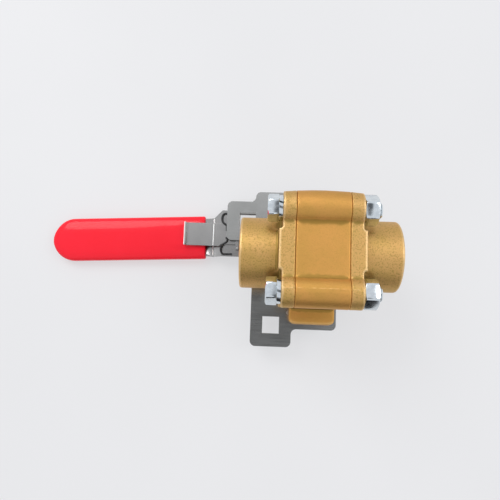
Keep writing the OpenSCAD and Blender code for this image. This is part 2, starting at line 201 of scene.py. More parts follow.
# %% Helpers for shader groups
def new_group(name, numbers, results):
    """An empty shader group with number inputs and the named results (name: kind)."""
    group = bpy.data.node_groups.new(name, "ShaderNodeTree")
    for label, value in numbers.items():
        socket = group.interface.new_socket(label, in_out="INPUT", socket_type="NodeSocketFloat")
        socket.default_value = value
    for label, kind in results.items():
        group.interface.new_socket(label, in_out="OUTPUT", socket_type=kind)
    entry = group.nodes.new("NodeGroupInput")
    leave = group.nodes.new("NodeGroupOutput")
    return group, entry, leave


def math_node(tree, operation, first, second=None):
    node = tree.nodes.new("ShaderNodeMath")
    node.operation = operation
    for place, value in enumerate((first, second)):
        if value is None:
            continue
        if isinstance(value, (int, float)):
            node.inputs[place].default_value = value
        else:
            tree.links.new(value, node.inputs[place])
    return node.outputs[0]


def ranged(tree, value, low, high, to_low=0.0, to_high=1.0):
    node = tree.nodes.new("ShaderNodeMapRange")
    node.interpolation_type = "SMOOTHSTEP"
    for label, number in (("From Min", low), ("From Max", high), ("To Min", to_low), ("To Max", to_high)):
        node.inputs[label].default_value = number
    tree.links.new(value, node.inputs["Value"])
    return node.outputs["Result"]


def noise_node(tree, scale, detail=4.0, roughness=0.55, stretch=None):
    """Noise on Object coordinates; scale is a number or a socket, stretch squeezes the axes."""
    place = tree.nodes.new("ShaderNodeTexCoord")
    texture = tree.nodes.new("ShaderNodeTexNoise")
    texture.inputs["Detail"].default_value = detail
    texture.inputs["Roughness"].default_value = roughness
    source = place.outputs["Object"]
    if stretch:
        mapping = tree.nodes.new("ShaderNodeMapping")
        mapping.inputs["Scale"].default_value = stretch
        tree.links.new(source, mapping.inputs["Vector"])
        source = mapping.outputs["Vector"]
    tree.links.new(source, texture.inputs["Vector"])
    if isinstance(scale, (int, float)):
        texture.inputs["Scale"].default_value = scale
    else:
        tree.links.new(scale, texture.inputs["Scale"])
    return texture.outputs["Fac"]


def use_group(tree, group, **values):
    node = tree.nodes.new("ShaderNodeGroup")
    node.node_tree = group
    for label, value in values.items():
        socket = node.inputs[label.replace("_", " ")]
        if isinstance(value, (int, float)):
            socket.default_value = value
        else:
            tree.links.new(value, socket)
    return node


# %% [markdown]
# ### Cast grain
# A sand casting that was blasted with beads has two textures: a fine even grain, and shallow
# pits and lumps a millimetre or two across. The group gives a height for the bump, and a
# pit mask that darkens the colour a little where dirt stays.

# %% Cast grain group
def build_cast_grain():
    group, entry, leave = new_group(
        "cast_grain",
        {"Grain Scale": 1500.0, "Lump Scale": 420.0, "Lump Share": 0.6},
        {"Height": "NodeSocketFloat", "Pits": "NodeSocketFloat"},
    )
    fine = noise_node(group, entry.outputs["Grain Scale"], detail=3.0, roughness=0.7)
    lumps = noise_node(group, entry.outputs["Lump Scale"], detail=2.0)
    shared = math_node(group, "MULTIPLY", lumps, entry.outputs["Lump Share"])
    group.links.new(math_node(group, "ADD", fine, shared), leave.inputs["Height"])
    group.links.new(ranged(group, lumps, 0.50, 0.34), leave.inputs["Pits"])
    return group


# %% [markdown]
# ### Clouds and drawn lines
# Colour is never even over a whole casting or sheet, so a second group makes soft clouds. A
# third makes the fine straight lines that rolling leaves on sheet and turning on a bar.

# %% Cloud group and drawn-line group
def build_clouds():
    group, entry, leave = new_group(
        "soft_clouds", {"Scale": 60.0, "Low": 0.35, "High": 0.65}, {"Mask": "NodeSocketFloat"}
    )
    cloud = noise_node(group, entry.outputs["Scale"], detail=3.0)
    spread = group.nodes.new("ShaderNodeMapRange")
    spread.interpolation_type = "SMOOTHSTEP"
    group.links.new(cloud, spread.inputs["Value"])
    group.links.new(entry.outputs["Low"], spread.inputs["From Min"])
    group.links.new(entry.outputs["High"], spread.inputs["From Max"])
    group.links.new(spread.outputs["Result"], leave.inputs["Mask"])
    return group


def build_drawn_lines():
    group, entry, leave = new_group(
        "drawn_lines",
        {"Scale": 900.0, "Base": 0.3, "Spread": 0.12},
        {"Roughness": "NodeSocketFloat", "Height": "NodeSocketFloat"},
    )
    lines = noise_node(group, entry.outputs["Scale"], detail=2.0, stretch=(0.04, 1.0, 1.0))
    varied = math_node(group, "MULTIPLY", lines, entry.outputs["Spread"])
    group.links.new(math_node(group, "ADD", varied, entry.outputs["Base"]), leave.inputs["Roughness"])
    group.links.new(lines, leave.inputs["Height"])
    return group


cast_grain = build_cast_grain()
soft_clouds = build_clouds()
drawn_lines = build_drawn_lines()
print("shader groups:", [g.name for g in bpy.data.node_groups])


# %% [markdown]
# ## Finishes
# The two bronze castings differ: the centre section is a warmer, more orange metal than the
# end caps, whose skin is paler and speckled. Edges that were rubbed are lighter and smoother,
# and hollows keep a darker, greener stain. The mesh carries that as a point attribute: 0 in a
# hollow, 0.5 on a flat, 1 on an edge. On the lever and the latch the same attribute marks a
# painted highlight instead.

# %% Helpers for materials
def new_material(name, roughness, metallic):
    material = bpy.data.materials.new(name)
    material.use_nodes = True
    shader = material.node_tree.nodes["Principled BSDF"]
    shader.inputs["Roughness"].default_value = roughness
    shader.inputs["Metallic"].default_value = metallic
    return material, material.node_tree, shader


def colour_mix(tree, factor, first, second, blend="MIX"):
    """Mixes two colours; either may be a colour or a socket."""
    mix = tree.nodes.new("ShaderNodeMix")
    mix.data_type = "RGBA"
    mix.blend_type = blend
    if isinstance(factor, (int, float)):
        mix.inputs["Factor"].default_value = factor
    else:
        tree.links.new(factor, mix.inputs["Factor"])
    for label, value in (("A", first), ("B", second)):
        socket = next(s for s in mix.inputs if s.name == label and s.type == "RGBA")
        if isinstance(value, tuple):
            socket.default_value = (*value, 1.0)
        else:
            tree.links.new(value, socket)
    return next(s for s in mix.outputs if s.type == "RGBA")


def add_bump(tree, shader, height, strength, distance):
    bump = tree.nodes.new("ShaderNodeBump")
    bump.inputs["Strength"].default_value = strength
    bump.inputs["Distance"].default_value = distance
    tree.links.new(height, bump.inputs["Height"])
    tree.links.new(bump.outputs["Normal"], shader.inputs["Normal"])


# This attribute holds wear on the castings and a painted highlight on the bend beads of the lever and the
# latch.
def wear_and_highlight_value(tree):
    attribute = tree.nodes.new("ShaderNodeAttribute")
    attribute.attribute_name = "wear_and_highlight"
    return attribute.outputs["Fac"]


# %% Bronze castings
def bronze(name, metal, cloud_tint, stain, rubbed_and_highlight, speckle):
    material, tree, shader = new_material(name, 0.42, 1.0)
    wear_and_highlight = wear_and_highlight_value(tree)
    clouds = use_group(tree, soft_clouds, Scale=55.0, Low=0.36, High=0.66)
    grain = use_group(tree, cast_grain, Grain_Scale=2300.0, Lump_Scale=1050.0, Lump_Share=0.7)
    colour = colour_mix(tree, clouds.outputs["Mask"], metal, cloud_tint)
    pits = math_node(tree, "MULTIPLY", grain.outputs["Pits"], speckle)
    colour = colour_mix(tree, pits, colour, stain)
    hollow = ranged(tree, wear_and_highlight, 0.47, 0.30, 0.0, 0.85)
    colour = colour_mix(tree, hollow, colour, stain)
    edge = ranged(tree, wear_and_highlight, 0.62, 0.95, 0.0, 0.35)
    colour = colour_mix(tree, edge, colour, rubbed_and_highlight)
    tree.links.new(colour, shader.inputs["Base Color"])
    rough = math_node(tree, "SUBTRACT", 0.50, math_node(tree, "MULTIPLY", edge, 0.16))
    tree.links.new(rough, shader.inputs["Roughness"])
    add_bump(tree, shader, grain.outputs["Height"], 0.5, 0.00016)
    return material


def sheet_steel(name, colour, base_roughness):
    material, tree, shader = new_material(name, base_roughness, 1.0)
    lines = use_group(tree, drawn_lines, Scale=1400.0, Base=base_roughness, Spread=0.14)
    clouds = use_group(tree, soft_clouds, Scale=40.0, Low=0.3, High=0.7)
    darker = tuple(c * 0.86 for c in colour)
    # On the lever and the latch this mask is full on the bend bead, a painted highlight, and on the latch's
    # free end, which is painted near-white too. There the colour goes to near-white and the roughness
    # rises. On every other sheet it is zero.
    rubbed_and_highlight = ranged(tree, wear_and_highlight_value(tree), 0.6, 0.9)
    plain = colour_mix(tree, clouds.outputs["Mask"], darker, colour)
    tree.links.new(colour_mix(tree, rubbed_and_highlight, plain, (0.95, 0.95, 0.93)), shader.inputs["Base Color"])
    rough = math_node(tree, "ADD", lines.outputs["Roughness"], math_node(tree, "MULTIPLY", rubbed_and_highlight, 0.3))
    tree.links.new(rough, shader.inputs["Roughness"])
    add_bump(tree, shader, lines.outputs["Height"], 0.25, 0.00004)
    return material


def zinc_plate(name):
    material, tree, shader = new_material(name, 0.2, 1.0)
    clouds = use_group(tree, soft_clouds, Scale=260.0, Low=0.3, High=0.7)
    grain = use_group(tree, cast_grain, Grain_Scale=1500.0, Lump_Scale=600.0, Lump_Share=0.5)
    colour = colour_mix(tree, clouds.outputs["Mask"], (0.64, 0.69, 0.72), (0.74, 0.79, 0.81))
    tree.links.new(colour, shader.inputs["Base Color"])
    tree.links.new(ranged(tree, clouds.outputs["Mask"], 0.0, 1.0, 0.12, 0.2), shader.inputs["Roughness"])
    add_bump(tree, shader, grain.outputs["Height"], 0.08, 0.00005)
    return material


# %% [markdown]
# The grip is vinyl: the steel bar is heated and dipped, and the coat sets thick, glossy and
# slightly wavy. A clear coat over a saturated red, a little light inside the skin and a very
# soft, long wave in the bump give that.

# %% Grip vinyl, plastics and rubber
def dipped_vinyl(name):
    material, tree, shader = new_material(name, 0.3, 0.0)
    clouds = use_group(tree, soft_clouds, Scale=30.0, Low=0.3, High=0.7)
    wave = noise_node(tree, 55.0, detail=1.0)
    colour = colour_mix(tree, clouds.outputs["Mask"], (0.90, 0.014, 0.030), (0.92, 0.016, 0.034))
    tree.links.new(colour, shader.inputs["Base Color"])
    tree.links.new(ranged(tree, wave, 0.3, 0.7, 0.22, 0.25), shader.inputs["Roughness"])
    shader.inputs["Specular IOR Level"].default_value = 0.1
    shader.inputs["Coat Weight"].default_value = 0.25
    shader.inputs["Coat Roughness"].default_value = 0.05
    shader.inputs["Subsurface Weight"].default_value = 0.05
    shader.inputs["Subsurface Scale"].default_value = 0.002
    add_bump(tree, shader, wave, 0.15, 0.0003)
    return material


def dull(name, colour, roughness, grain_scale, strength):
    material, tree, shader = new_material(name, roughness, 0.0)
    grain = use_group(tree, cast_grain, Grain_Scale=grain_scale, Lump_Scale=grain_scale / 3, Lump_Share=0.5)
    lighter = tuple(min(1.0, c * 1.12 + 0.01) for c in colour)
    tree.links.new(colour_mix(tree, grain.outputs["Pits"], lighter, colour), shader.inputs["Base Color"])
    add_bump(tree, shader, grain.outputs["Height"], strength, 0.0001)
    return material


finish = {
    "cast_body": bronze(
        "bronze_body", metal=(0.66, 0.345, 0.095), cloud_tint=(0.60, 0.33, 0.085),
        stain=(0.34, 0.205, 0.045), rubbed_and_highlight=(0.98, 0.66, 0.30), speckle=0.15,
    ),
    "cast_end": bronze(
        "bronze_end_cap", metal=(0.66, 0.40, 0.145), cloud_tint=(0.60, 0.38, 0.12),
        stain=(0.33, 0.22, 0.055), rubbed_and_highlight=(1.0, 0.74, 0.42), speckle=0.55,
    ),
    "turned_brass": sheet_steel("turned_brass", (0.72, 0.50, 0.20), 0.24),
    "seat_ring": dull("seat_plastic", (0.86, 0.85, 0.80), 0.5, 1800.0, 0.1),
    "seal_rubber": dull("seal_rubber", (0.02, 0.02, 0.022), 0.7, 2400.0, 0.2),
    "polished_ball": sheet_steel("polished_ball", (0.78, 0.78, 0.77), 0.08),
    "turned_steel": sheet_steel("turned_steel", (0.56, 0.56, 0.55), 0.26),
    "plate_steel": sheet_steel("plate_steel", (0.47, 0.47, 0.45), 0.15),
    "lever_steel": sheet_steel("lever_steel", (0.44, 0.43, 0.415), 0.15),
    "grip_vinyl": dipped_vinyl("grip_vinyl"),
    "black_wire": dull("black_wire", (0.010, 0.010, 0.011), 0.35, 3000.0, 0.1),
    "zinc_plate": zinc_plate("zinc_plate"),
}
for name, node in nodes.items():
    node.data.materials.clear()
    node.data.materials.append(finish[slot_of_node[name]])
print("finishes:", len(finish))


# %% [markdown]
# ## Tools for finishing a piece
# Each rebuilt piece replaces its own node, rides on the same body and keeps the same slot, so
# one helper does all three. A second helper copies a node's mesh, joins its loose triangles
# and merges the flat ones, which gives a mesh that can be bevelled.

# %% Piece helpers
def settle(name, mesh, node_names, smooth_angle=35.0):
    """Makes a piece from a mesh, and has it stand for the nodes it was made from."""
    first = node_names[0]
    piece = bpy.data.objects.new(name, mesh)
    bpy.context.scene.collection.objects.link(piece)
    mesh.materials.clear()
    mesh.materials.append(finish[slot_of_node[first]])
    for polygon in mesh.polygons:
        polygon.material_index = 0
        polygon.use_smooth = True
    if smooth_angle is not None:
        mesh.set_sharp_from_angle(angle=math.radians(smooth_angle))
    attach(piece, body_of_node[first])
    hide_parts(*node_names)
    return piece


def merged_copy(node_name, flat_angle=None):
    """The node's mesh with its corners joined and, if asked, its flat areas made whole."""
    mesh = nodes[node_name].data.copy()
    work = bmesh.new()
    work.from_mesh(mesh)
    bmesh.ops.remove_doubles(work, verts=work.verts, dist=2e-6)
    if flat_angle is not None:
        bmesh.ops.dissolve_limit(
            work, angle_limit=math.radians(flat_angle), verts=work.verts, edges=work.edges
        )
    bmesh.ops.recalc_face_normals(work, faces=work.faces)
    work.to_mesh(mesh)
    work.free()
    return mesh


def with_modifiers(mesh, *settings):
    """The mesh after the given modifiers: each is (type, {setting: value})."""
    scratch = bpy.data.objects.new("scratch", mesh)
    bpy.context.scene.collection.objects.link(scratch)
    for kind, values in settings:
        modifier = scratch.modifiers.new(kind.lower(), kind)
        for label, value in values.items():
            setattr(modifier, label, value)
    bpy.context.view_layer.update()
    evaluated = scratch.evaluated_get(bpy.context.evaluated_depsgraph_get())
    made = bpy.data.meshes.new_from_object(evaluated)
    bpy.data.objects.remove(scratch)
    return made


# %% [markdown]
# ## Castings
# Molten bronze can't fill a sharp corner, and sand can't hold one, so every edge and every
# inside corner of a casting is round. Bevelling the exact model would need care at each
# corner where lobes, bands and necks meet. A voxel remesh is simpler: it samples the solid on
# a fine even grid, and a few passes of smoothing then round all edges and fillets alike.
# After that the points are moved a little along their normals: a slow wave for the uneven
# skin, and a thin ridge where the two halves of the mould met. The hollows that the bolt
# heads need are faded into the necks, and the far side is crowned slightly.

# %% Castings by voxel remesh
VOXEL = 0.6 * MM
CRISP_PASSES = 3
BLUR_PASSES = 3
SOFT_PASSES = 26
CRISP_PLANES = (17.0 * MM, 25.4 * MM, 27.6 * MM, 53.0 * MM)
SKIN_WAVE = 0.07 * MM
PARTING_RIDGE = 0.16 * MM
PARTING_AT = -24.5 * MM
PARTING_WIDTH = 0.55 * MM
NECK_FROM, NECK_FULL, NECK_TO = 27.8 * MM, 36.0 * MM, 46.0 * MM
NECK_BORE, NECK_R = 21.6 * MM, 24.45 * MM
CROWN, CROWN_ENDS = 1.6 * MM, 28.0 * MM
CROWN_FROM, CROWN_FULL = 15 * MM, 36 * MM
BAND_FROM = 30 * MM


def eased(value, low, high):
    share = min(1.0, max(0.0, (value - low) / (high - low)))
    return share * share * (3 - 2 * share)


def softening(mesh):
    """Weights for the second smoothing: none at the machined joints, full on the rest."""
    weights = []
    for vert in mesh.vertices:
        near = min(abs(abs(vert.co.x) - plane) for plane in CRISP_PLANES)
        weights.append(eased(near, 0.7 * MM, 2.6 * MM))
    return weights


def smoothed_by_weight(mesh, weights, passes):
    """Moves every point towards the middle of its neighbours, as far as its weight allows."""
    work = bmesh.new()
    work.from_mesh(mesh)
    work.verts.ensure_lookup_table()
    around = [[edge.other_vert(vert).index for edge in vert.link_edges] for vert in work.verts]
    at = [vert.co.copy() for vert in work.verts]
    work.free()
    movable = [index for index, weight in enumerate(weights) if weight > 0.01]
    for _ in range(passes):
        goal = {}
        for index in movable:
            middle = Vector((0.0, 0.0, 0.0))
            for other in around[index]:
                middle += at[other]
            goal[index] = at[index].lerp(middle / len(around[index]), 0.5 * weights[index])
        for index, place in goal.items():
            at[index] = place
    mesh.vertices.foreach_set("co", [number for place in at for number in place])
    mesh.update()


def wear_attribute(mesh, reach):
    """Writes how proud each point stands of its neighbours: 0 hollow, 0.5 flat, 1 edge."""
    work = bmesh.new()
    work.from_mesh(mesh)
    work.verts.ensure_lookup_table()
    bend = []
    for vert in work.verts:
        around = [edge.other_vert(vert).co for edge in vert.link_edges]
        middle = sum(around, Vector()) / max(1, len(around))
        bend.append((vert.co - middle).dot(vert.normal) / reach)
    beside = [[edge.other_vert(vert).index for edge in vert.link_edges] for vert in work.verts]
    for _ in range(BLUR_PASSES):
        bend = [
            0.5 * bend[here] + 0.5 * sum(bend[other] for other in others) / len(others)
            for here, others in enumerate(beside)
        ]
    work.free()
    joint = [eased(abs(abs(vert.co.x) - CRISP_PLANES[0]), 0.6 * MM, 2.0 * MM) for vert in mesh.vertices]
    attribute = mesh.attributes.new("wear_and_highlight", "FLOAT", "POINT")
    attribute.data.foreach_set("value", [min(1.0, max(0.0, 0.5 + b * j)) for b, j in zip(bend, joint)])


def cast_skin(mesh):
    """Moves the points a little, as sand leaves them, fills the necks and crowns the far side."""
    places = []
    for vert in mesh.vertices:
        along, at = vert.normal, vert.co
        lift = (noise.noise(at * 90) + 0.5 * noise.noise(at * 280)) * SKIN_WAVE
        if at.z > BAND_FROM and along.z > 0.5:
            seam = PARTING_AT + 0.6 * MM * noise.noise(at * 160)
            near = max(0.0, 1.0 - abs(at.y - seam) / PARTING_WIDTH)
            lift += near * PARTING_RIDGE * (0.6 + noise.noise(at * 420))
        still = abs(along.x) > 0.8
        moved_to = at.copy() if still else at + along * (lift - SKIN_WAVE)
        outward = math.hypot(at.y, at.z)
        if NECK_FROM < abs(at.x) < NECK_TO and NECK_BORE < outward < NECK_R:
            fill = eased(abs(at.x), NECK_FROM, NECK_FULL)
            grown = (outward + (NECK_R - outward) * fill) / outward
            moved_to.y *= grown
            moved_to.z *= grown
        if abs(at.x) < CROWN_ENDS and at.y > CROWN_FROM:
            moved_to.y += CROWN * (1 - (at.x / CROWN_ENDS) ** 2) * eased(at.y, CROWN_FROM, CROWN_FULL)
        places.extend(moved_to)
    mesh.vertices.foreach_set("co", places)
    mesh.update()


def casting(node_name):
    mesh = with_modifiers(
        merged_copy(node_name),
        ("REMESH", {"mode": "VOXEL", "voxel_size": VOXEL, "use_smooth_shade": True}),
        ("SMOOTH", {"factor": 0.5, "iterations": CRISP_PASSES}),
    )
    smoothed_by_weight(mesh, softening(mesh), SOFT_PASSES)
    cast_skin(mesh)
    wear_attribute(mesh, 0.06 * MM)
    piece = settle(node_name + "_casting", mesh, [node_name], smooth_angle=70.0)
    print(piece.name, len(mesh.polygons), "faces")
    return piece


for name in ("body", "end_cap_left", "end_cap_right"):
    casting(name)


# %% [markdown]
# ## Sheet metal
# Stamped sheet has edges that are crisp but never razor sharp: the press rounds one side and
# a quick tumble takes off the burr. A small bevel on every sharp edge of the exact outline
# catches a thin line of light, which is what tells the eye that a plate has thickness.

# %% Sheet metal by bevel
def bevelled(node_name, width, segments=2, sharper_than=32.0):
    plain = merged_copy(node_name, flat_angle=0.4)
    plain.shade_smooth()
    mesh = with_modifiers(
        plain,
        (
            "BEVEL",
            {
                "width": width,
                "segments": segments,
                "limit_method": "ANGLE",
                "angle_limit": math.radians(sharper_than),
                "use_clamp_overlap": True,
                "miter_outer": "MITER_ARC",
            },
        ),
        ("WEIGHTED_NORMAL", {"mode": "FACE_AREA", "weight": 100, "keep_sharp": False}),
    )
    piece = settle(node_name + "_finished", mesh, [node_name], smooth_angle=None)
    print(piece.name, len(mesh.polygons), "faces")
    return piece


# %% [markdown]
# A bend also shows as a bright line, where it reflects the light. A thin bead, painted
# near-white through the same attribute, is a painted highlight that stands for that line on
# the lever and on the latch. The real sheets have no bead.

# %% Sheets and turned parts
SHEET_EDGE = 0.35 * MM
TURNED_EDGE = 0.15 * MM
BEND_BEADS = {
    # node: y of both ends, x, z, radius, and where the bright end starts
    "lever": ((2.9, 32.9), -78.9, -52.4, 0.75, -1000.0),
    "latch_slide": ((10.4, 28.0), -78.4, -46.5, 0.62, -101.0),
}
for name in ("lock_plate", "latch_guide"):
    bevelled(name, SHEET_EDGE)


def with_bead(node_name, start, end, radius, bright_below):
    """A bevelled sheet with a thin bead along its bend, painted near-white as a highlight, and perhaps an
    end painted near-white.
    """
    piece = bevelled(node_name, SHEET_EDGE)
    work = bmesh.new()
    work.from_mesh(piece.data)
    before = set(work.faces)
    middle = (Vector(start) + Vector(end)) / 2
    long = (Vector(end) - Vector(start)).length
    turn = (Vector(end) - Vector(start)).to_track_quat("Z", "X").to_matrix().to_4x4()
    place = Matrix.Translation(middle) @ turn
    bmesh.ops.create_cone(
        work, cap_ends=True, segments=20, radius1=radius, radius2=radius, depth=long, matrix=place
    )
    bead = set(work.faces) - before
    # Full value on the bead paints it near-white, a painted highlight for the bend. Points beyond the given
    # x at the latch's free end are painted near-white too.
    layer = work.verts.layers.float.new("wear_and_highlight")
    for face in bead:
        face.smooth = len(face.verts) == 4
        for vert in face.verts:
            vert[layer] = 1.0
    for vert in work.verts:
        if vert.co.x < bright_below:
            vert[layer] = 1.0
    work.to_mesh(piece.data)
    work.free()
    return piece


for name, (ends, x, z, radius, bright_from) in BEND_BEADS.items():
    start, end = (Vector((x, y, z)) * MM for y in ends)
    with_bead(name, start, end, radius * MM, bright_below=bright_from * MM)
for name in ("gland_nut", "stem", "keeper_pins", "plate_screws", "stem_nut"):
    bevelled(name, TURNED_EDGE)

# %% [markdown]
# ## Hexagons
# The top of a nut or bolt head is turned to a shallow cone, and where that cone cuts the six
# flats it leaves the curved lines that everyone knows from real fasteners. They come out
# exactly if every direction round the axis gets its own height where flat and cone meet.
# A direction close to a corner reaches further out, so there the cone cuts lower.

# %% Hexagon mesh
AROUND = 72
CORNER_ROUND = 0.992


def hex_reach(turn, across):
    """Distance from the axis to the side of a hexagon, with corners a little rounded."""
    sixth = math.radians(60)
    off = (turn % sixth) - sixth / 2
    return min(across / 2 / math.cos(off), across / math.sqrt(3) * CORNER_ROUND)


def hex_outline(turn, across, length, both_ends):
    """(x, radius) points along the side, from the seat at x = 0 to the top at x = length."""
    reach = hex_reach(turn, across)
    flat = across / 2 * 0.955
    drop = (reach - flat) * math.tan(math.radians(30))
    soft = 0.13 * MM
    top = [
        (length - drop - soft, reach),
        (length - drop + 0.4 * soft, reach - 0.6 * soft),
        (length - 0.5 * soft, flat + soft),
        (length, flat - soft),
    ]
    foot = [(0.0, reach - soft), (soft, reach)]
    if both_ends:
        foot = [(length - x, radius) for x, radius in reversed(top)]
    return foot + top


def lathe(rows, name, closed_rows=False):
    """A mesh from rings of (x, radius) that may change with direction; rows[turn][step]."""
    work = bmesh.new()
    grid = []
    for number, row in enumerate(rows):
        turn = 2 * math.pi * number / len(rows)
        grid.append([work.verts.new((x, r * math.cos(turn), r * math.sin(turn))) for x, r in row])
    steps = len(rows[0])
    last = steps if closed_rows else steps - 1
    for number, row in enumerate(grid):
        after = grid[(number + 1) % len(grid)]
        for step in range(last):
            nxt = (step + 1) % steps
            work.faces.new((row[step], row[nxt], after[nxt], after[step]))
    bmesh.ops.remove_doubles(work, verts=work.verts, dist=1e-7)
    bmesh.ops.recalc_face_normals(work, faces=work.faces)
    mesh = bpy.data.meshes.new(name)
    work.to_mesh(mesh)
    work.free()
    return mesh


def turns():
    return [2 * math.pi * number / AROUND for number in range(AROUND)]


def hex_head(across, length, name):
    """A solid head, closed on the axis at both ends."""
    rows = []
    for turn in turns():
        rows.append([(0.0, 0.0)] + hex_outline(turn, across, length, False) + [(length, 0.0)])
    return lathe(rows, name)


def hex_nut(across, length, hole, name):
    """A nut with a turned cone at both ends and a countersunk hole."""
    sink = 0.7 * MM
    rows = []
    for turn in turns():
        inside = [(length, hole + sink), (length - sink, hole), (sink, hole), (0.0, hole + sink)]
        rows.append(hex_outline(turn, across, length, True) + inside)
    return lathe(rows, name, closed_rows=True)


# %% [markdown]
# ## Threads and split washers
# Only the last turns of each bolt show beyond its nut. A thread is a groove whose place along
# the axis depends on the direction, so the same kind of grid can hold it. A split washer is a
# nearly full ring of square wire, and one end stands a little higher than the other.

# %% Thread and split washer meshes
def threaded_end(start, end, radius, pitch, depth, name):
    """A rod end along X with a real helical groove and a cone at the tip."""
    steps = int((end - start) / (0.14 * MM))
    cone = 1.3 * MM
    rows = []
    for number, turn in enumerate(turns()):
        row = []
        for step in range(steps + 1):
            x = start + (end - start) * step / steps
            phase = (x / pitch - number / AROUND) % 1.0
            groove = depth * max(0.0, 1.0 - abs(phase - 0.5) * 2.6)
            limit = radius - max(0.0, x - (end - cone)) * 0.9
            row.append((x, min(radius - groove, limit)))
        rows.append([(start, 0.0)] + row + [(end, 0.0)])
    return lathe(rows, name)


def split_washer(inner, outer, thickness, name):
    """A square-section ring along X with a slanted gap, its ends slightly out of line."""
    edge = 0.22 * MM
    section = [
        (0.0, inner + edge), (0.0, outer - edge), (edge, outer), (thickness - edge, outer),
        (thickness, outer - edge), (thickness, inner + edge), (thickness - edge, inner), (edge, inner),
    ]
    gap = math.radians(9)
    steps = 64
    lift = 0.12 * MM
    work = bmesh.new()
    rings = []
    for step in range(steps + 1):
        share = step / steps
        ring = []
        for x, radius in section:
            slant = (x / thickness - 0.5) * math.radians(7)
            turn = gap / 2 + slant + (2 * math.pi - gap) * share
            squeezed = x + lift * (share - 0.5) * (1.0 if 0.05 < x / thickness < 0.95 else 0.0)
            ring.append(work.verts.new((squeezed, radius * math.cos(turn), radius * math.sin(turn))))
        rings.append(ring)
    count = len(section)
    for before, after in zip(rings, rings[1:]):
        for place in range(count):
            nxt = (place + 1) % count
            work.faces.new((before[place], before[nxt], after[nxt], after[place]))
    work.faces.new(rings[0])
    work.faces.new(list(reversed(rings[-1])))
    bmesh.ops.recalc_face_normals(work, faces=work.faces)
    mesh = bpy.data.meshes.new(name)
    work.to_mesh(mesh)
    work.free()
    return mesh


# %% [markdown]
# ## Four of each with Geometry Nodes
# The bolts, washers and nuts each come four times. One node group places a part on every
# point of a small mesh, turned by the amount stored at that point, because no two nuts stop
# at the same angle when they are tightened. The group ends by making the copies real and
# giving them their material.

# %% Geometry Nodes: one part on every point
def build_scatter_group():
    group = bpy.data.node_groups.new("part_on_points", "GeometryNodeTree")
    face = group.interface
    face.new_socket("Points", in_out="INPUT", socket_type="NodeSocketGeometry")
    face.new_socket("Part", in_out="INPUT", socket_type="NodeSocketObject")
    face.new_socket("Material", in_out="INPUT", socket_type="NodeSocketMaterial")
    face.new_socket("Geometry", in_out="OUTPUT", socket_type="NodeSocketGeometry")
    add, link = group.nodes.new, group.links.new
    entry, leave = add("NodeGroupInput"), add("NodeGroupOutput")
    part = add("GeometryNodeObjectInfo")
    turned = add("GeometryNodeInputNamedAttribute")
    turned.data_type = "FLOAT_VECTOR"
    turned.inputs["Name"].default_value = "turn"
    place = add("GeometryNodeInstanceOnPoints")
    real = add("GeometryNodeRealizeInstances")
    paint = add("GeometryNodeSetMaterial")
    link(entry.outputs["Part"], part.inputs["Object"])
    link(entry.outputs["Points"], place.inputs["Points"])
    link(part.outputs["Geometry"], place.inputs["Instance"])
    link(turned.outputs["Attribute"], place.inputs["Rotation"])
    link(place.outputs["Instances"], real.inputs["Geometry"])
    link(real.outputs["Geometry"], paint.inputs["Geometry"])
    link(entry.outputs["Material"], paint.inputs["Material"])
    link(paint.outputs["Geometry"], leave.inputs["Geometry"])
    return group


scatter_group = build_scatter_group()


def copies_at(places, part_mesh, material, name):
    """One mesh with the part at every place: (position, turn in degrees round X, Y, Z)."""
    points = bpy.data.meshes.new(name + "_points")
    points.from_pydata([position for position, _ in places], [], [])
    attribute = points.attributes.new("turn", "FLOAT_VECTOR", "POINT")
    for item, (_, turn) in zip(attribute.data, places):
        item.vector = [math.radians(value) for value in turn]
    holder = bpy.data.objects.new(name + "_holder", points)
    part = bpy.data.objects.new(name + "_part", part_mesh)
    for scratch in (holder, part):
        bpy.context.scene.collection.objects.link(scratch)
    modifier = holder.modifiers.new("copies", "NODES")
    modifier.node_group = scatter_group
    identifiers = {s.name: s.identifier for s in scatter_group.interface.items_tree if s.in_out == "INPUT"}
    modifier[identifiers["Part"]] = part
    modifier[identifiers["Material"]] = material
    bpy.context.view_layer.update()
    mesh = bpy.data.meshes.new_from_object(holder.evaluated_get(bpy.context.evaluated_depsgraph_get()))
    for scratch in (holder, part):
        bpy.data.objects.remove(scratch)
    mesh.name = name
    return mesh


def joined(*meshes):
    """Several meshes as one."""
    work = bmesh.new()
    for mesh in meshes:
        work.from_mesh(mesh)
    mesh = bpy.data.meshes.new("joined")
    work.to_mesh(mesh)
    work.free()
    return mesh


def moved(mesh, matrix):
    mesh.transform(matrix)
    if matrix.determinant() < 0:
        mesh.flip_normals()
    return mesh


# %% [markdown]
# ## The body fasteners
# Each bolt is a head, a shank and a threaded end. The head's seat faces the right, so the
# head mesh is mirrored to point to the left.

# %% Bolts, washers and nuts
BOLT_Y = BOLT_Z = 26.5 * MM
BOLT_R = 5.55 * MM
HEAD_ACROSS, HEAD_HIGH = 15.9 * MM, 7.1 * MM
NUT_ACROSS, NUT_HIGH = 17.5 * MM, 9.3 * MM
SEAT_X = 25.4 * MM
WASHER_THICK = 2.8 * MM
BOLT_END = 37.1 * MM
PITCH, GROOVE = 1.81 * MM, 0.85 * MM
corners = [(y, z) for y in (1, -1) for z in (1, -1)]
head_turns = {(1, 1): 5.0, (1, -1): 34.0, (-1, 1): -3.0, (-1, -1): 15.0}
nut_turns = {(1, 1): 9.4, (1, -1): 41.0, (-1, 1): -8.2, (-1, -1): 22.0}
split_turns = {(1, 1): 75.0, (1, -1): 200.0, (-1, 1): 40.0, (-1, -1): 310.0}


def at_corners(x, turn_of):
    return [((x, y * BOLT_Y, z * BOLT_Z), (turn_of[(y, z)], 0.0, 0.0)) for y, z in corners]


